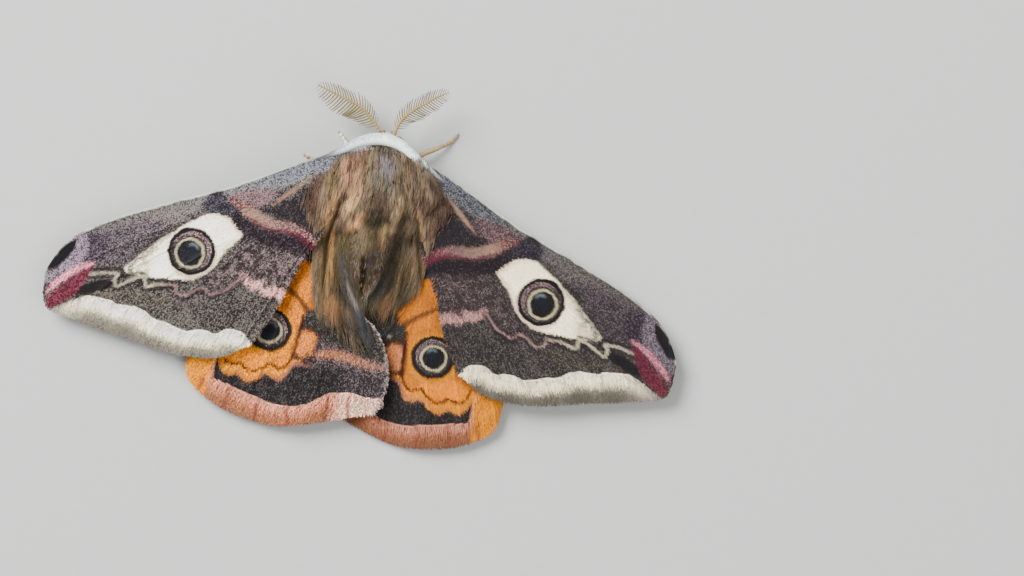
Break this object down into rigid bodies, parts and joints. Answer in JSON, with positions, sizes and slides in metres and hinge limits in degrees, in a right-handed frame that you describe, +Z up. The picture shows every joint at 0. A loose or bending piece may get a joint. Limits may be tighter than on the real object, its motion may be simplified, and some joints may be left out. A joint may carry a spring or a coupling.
{
  "type": "male small emperor moth",
  "caption": "Life-size museum model of a male small emperor moth at rest, wings spread flat, feathered antennae forward.",
  "frame": {"origin": "on the floor under the middle of the model's plan", "axes": "+X to the moth's right seen from above, +Y towards its head, +Z up"},
  "size_m": [0.0646, 0.037, 0.0072],
  "materials": {
    "tan_fur": "dense matt hair",
    "brown_fur": "dense matt hair",
    "pale_fur": "dense matt hair",
    "forewing_scales": "matt scales with eyespots",
    "hindwing_scales": "matt scales with eyespots",
    "eye": "dark and glossy",
    "antenna": "matt ochre",
    "leg": "short pale hair"
  },
  "bodies": {
    "root": {"thorax": "tan_fur", "abdomen": "brown_fur", "head": "pale_fur", "eye_left": "eye", "eye_right": "eye", "antenna_left": "antenna", "antenna_right": "antenna", "forewing_left": "forewing_scales", "forewing_right": "forewing_scales", "hindwing_left": "hindwing_scales", "hindwing_right": "hindwing_scales", "leg_fore_left": "leg", "leg_fore_right": "leg", "leg_mid_left": "leg", "leg_mid_right": "leg", "leg_hind_left": "leg", "leg_hind_right": "leg"}
  },
  "joints": []
}
